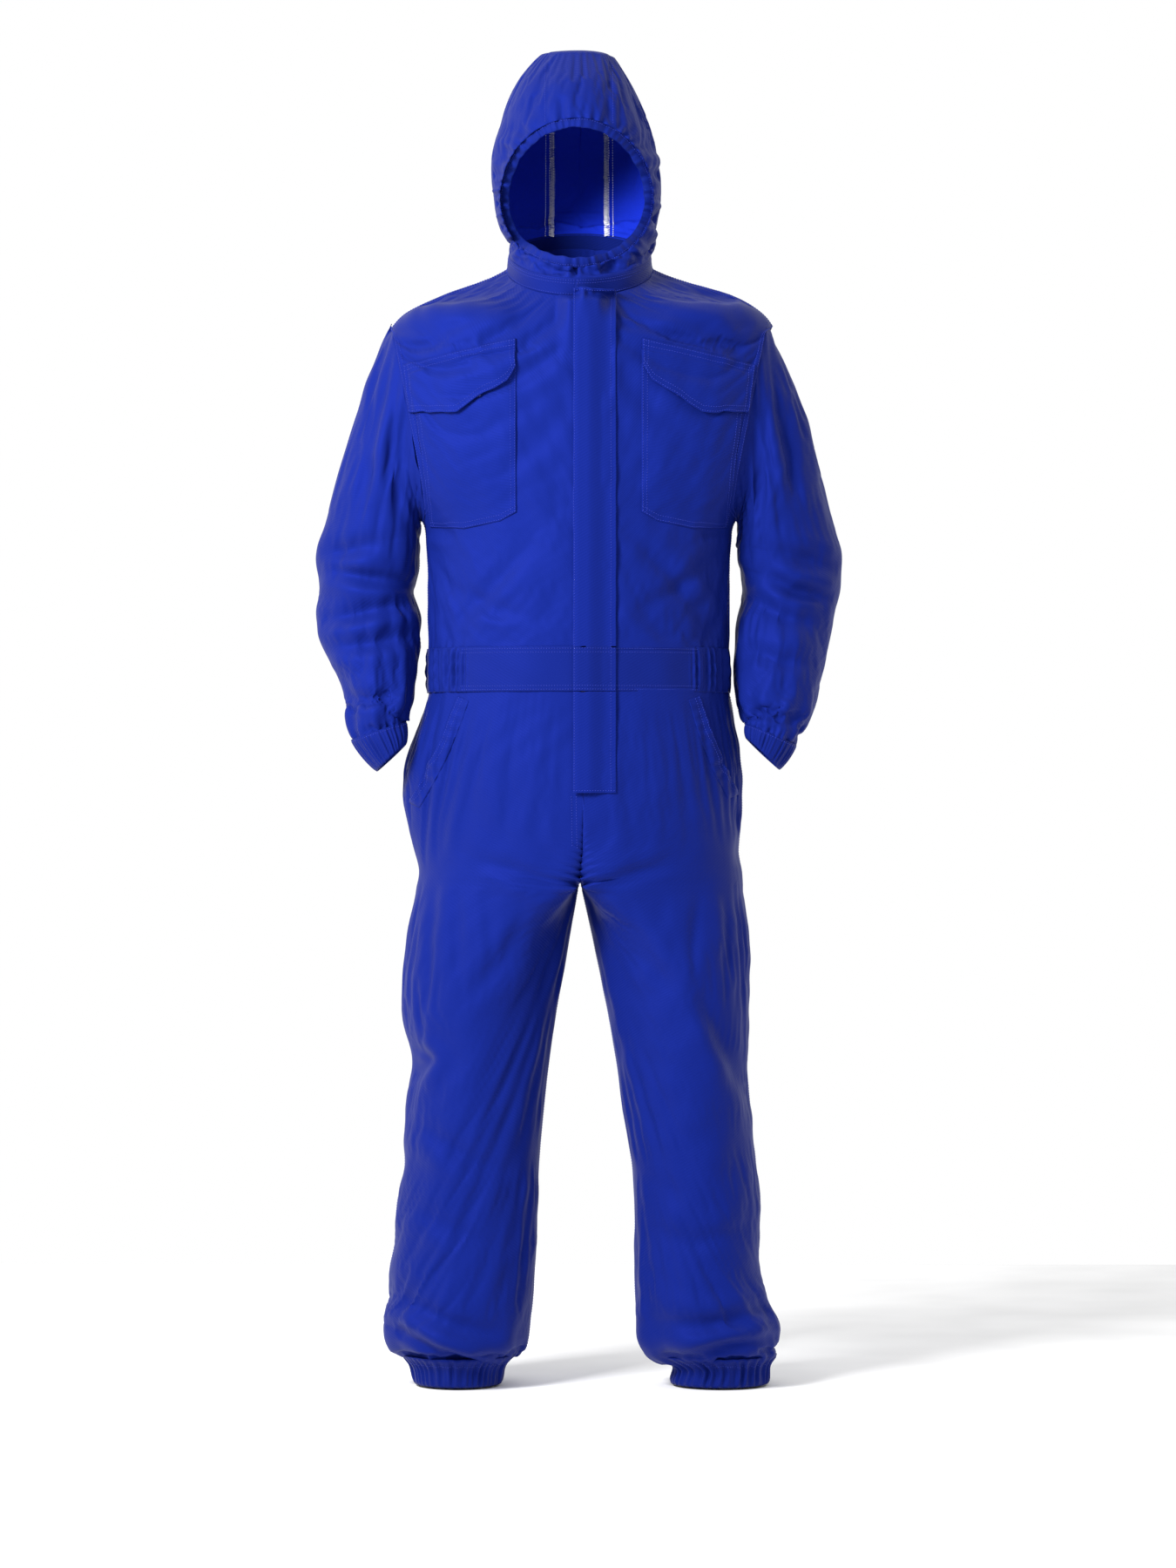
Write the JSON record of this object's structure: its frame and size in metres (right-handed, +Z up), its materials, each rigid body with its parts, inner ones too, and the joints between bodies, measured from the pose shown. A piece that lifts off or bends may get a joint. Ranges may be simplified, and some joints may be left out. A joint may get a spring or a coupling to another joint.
{
  "type": "hooded coverall",
  "caption": "Hooded one-piece work coverall with covered front zip, elastic waist, cuffs and ankle hems, chest pockets with flaps and slant side pockets, as worn.",
  "frame": {"origin": "centre of the seam between the collar band and the bodice, where the suit goes round the wearer's neck", "axes": "+Z up along the suit, +X to the wearer's left, the front faces -Y"},
  "size_m": [0.654, 0.2741, 1.646],
  "materials": {
    "twill": "royal blue polyester-cotton twill with a slight satin sheen",
    "band_twill": "the same twill, doubled for bands and casings",
    "pocketing": "plain blue pocket lining",
    "elastic": "white braided elastic, hidden inside its casing",
    "zip_tape": "woven blue zip tape",
    "hook_and_loop": "blue hook-and-loop tape",
    "zip_coil": "blue nylon coil",
    "zip_enamel": "blue enamelled zinc"
  },
  "bodies": {
    "suit": {"bodice_front_left": "twill", "bodice_front_right": "twill", "bodice_back": "twill", "collar_band": "band_twill", "waistband_front_left": "band_twill", "waistband_front_right": "band_twill", "waistband_back": "band_twill", "waist_elastic": "elastic", "hip_front_left": "twill", "hip_front_right": "twill", "hip_back_left": "twill", "hip_back_right": "twill", "pocket_bag_left": "pocketing", "pocket_bag_right": "pocketing", "zip_tape_left": "zip_tape", "zip_tape_right": "zip_tape", "zip_teeth_left": "zip_coil", "zip_teeth_right": "zip_coil", "zip_stop": "zip_enamel", "chest_pocket_left": "twill", "chest_pocket_right": "twill", "loop_patch_left": "hook_and_loop", "loop_patch_right": "hook_and_loop"},
    "hood": {"hood_centre": "twill", "hood_side_left": "twill", "hood_side_right": "twill", "hood_rim": "band_twill", "hood_elastic": "elastic"},
    "placket_flap": {"placket": "twill"},
    "tab_flap": {"waist_tab": "band_twill"},
    "fly_cover": {"fly_flap": "twill"},
    "slider": {"zip_slider": "zip_enamel"},
    "pull": {"zip_pull": "zip_enamel"},
    "arm_left": {"sleeve_left": "twill", "cuff_left": "band_twill", "cuff_elastic_left": "elastic"},
    "leg_left": {"leg_front_left": "twill", "leg_back_left": "twill", "hem_left": "band_twill", "hem_elastic_left": "elastic"},
    "chest_flap_left": {"pocket_flap_left": "twill", "hook_patch_left": "hook_and_loop"},
    "arm_right": {"sleeve_right": "twill", "cuff_right": "band_twill", "cuff_elastic_right": "elastic"},
    "leg_right": {"leg_front_right": "twill", "leg_back_right": "twill", "hem_right": "band_twill", "hem_elastic_right": "elastic"},
    "chest_flap_right": {"pocket_flap_right": "twill", "hook_patch_right": "hook_and_loop"}
  },
  "joints": [
    {"name": "hood_fold", "type": "hinge", "parent": "suit", "child": "hood", "pos_m": [0, 0.0958, 0.0619], "axis": [-1, 0, 0], "range_deg": [0, 85]},
    {"name": "sleeve_left_lift", "type": "hinge", "parent": "suit", "child": "arm_left", "pos_m": [0.231, 0.003, -0.0735], "axis": [0, -1, 0], "range_deg": [0, 50]},
    {"name": "leg_left_swing", "type": "hinge", "parent": "suit", "child": "leg_left", "pos_m": [0.1, -0.1226, -0.756], "axis": [-1, 0, 0], "range_deg": [0, 30]},
    {"name": "sleeve_right_lift", "type": "hinge", "parent": "suit", "child": "arm_right", "pos_m": [-0.231, 0.003, -0.0735], "axis": [0, 1, 0], "range_deg": [0, 50]},
    {"name": "leg_right_swing", "type": "hinge", "parent": "suit", "child": "leg_right", "pos_m": [-0.1, -0.1226, -0.756], "axis": [-1, 0, 0], "range_deg": [0, 30]},
    {"name": "chest_flap_left_lift", "type": "hinge", "parent": "suit", "child": "chest_flap_left", "pos_m": [0.14925, -0.10972, -0.1095], "axis": [-0.9186, -0.335, 0.2094], "range_deg": [0, 110]},
    {"name": "chest_flap_right_lift", "type": "hinge", "parent": "suit", "child": "chest_flap_right", "pos_m": [-0.14925, -0.10972, -0.1095], "axis": [-0.9186, 0.335, -0.2094], "range_deg": [0, 110]},
    {"name": "placket_open", "type": "hinge", "parent": "suit", "child": "placket_flap", "pos_m": [0.0452, -0.1314, -0.26], "axis": [0, 0, 1], "range_deg": [0, 140]},
    {"name": "waist_tab_open", "type": "hinge", "parent": "suit", "child": "tab_flap", "pos_m": [0.0452, -0.1314, -0.497], "axis": [0, 0, 1], "range_deg": [0, 140]},
    {"name": "fly_open", "type": "hinge", "parent": "suit", "child": "fly_cover", "pos_m": [0.0452, -0.1314, -0.58], "axis": [0, 0, 1], "range_deg": [0, 140]},
    {"name": "zip_slide", "type": "slide", "parent": "suit", "child": "slider", "axis": [0, 0, -1], "range_m": [0, 0.53]},
    {"name": "zip_pull_swing", "type": "hinge", "parent": "slider", "child": "pull", "pos_m": [0.005, -0.1296, -0.0855], "axis": [0, 1, 0], "range_deg": [-25, 25]}
  ]
}
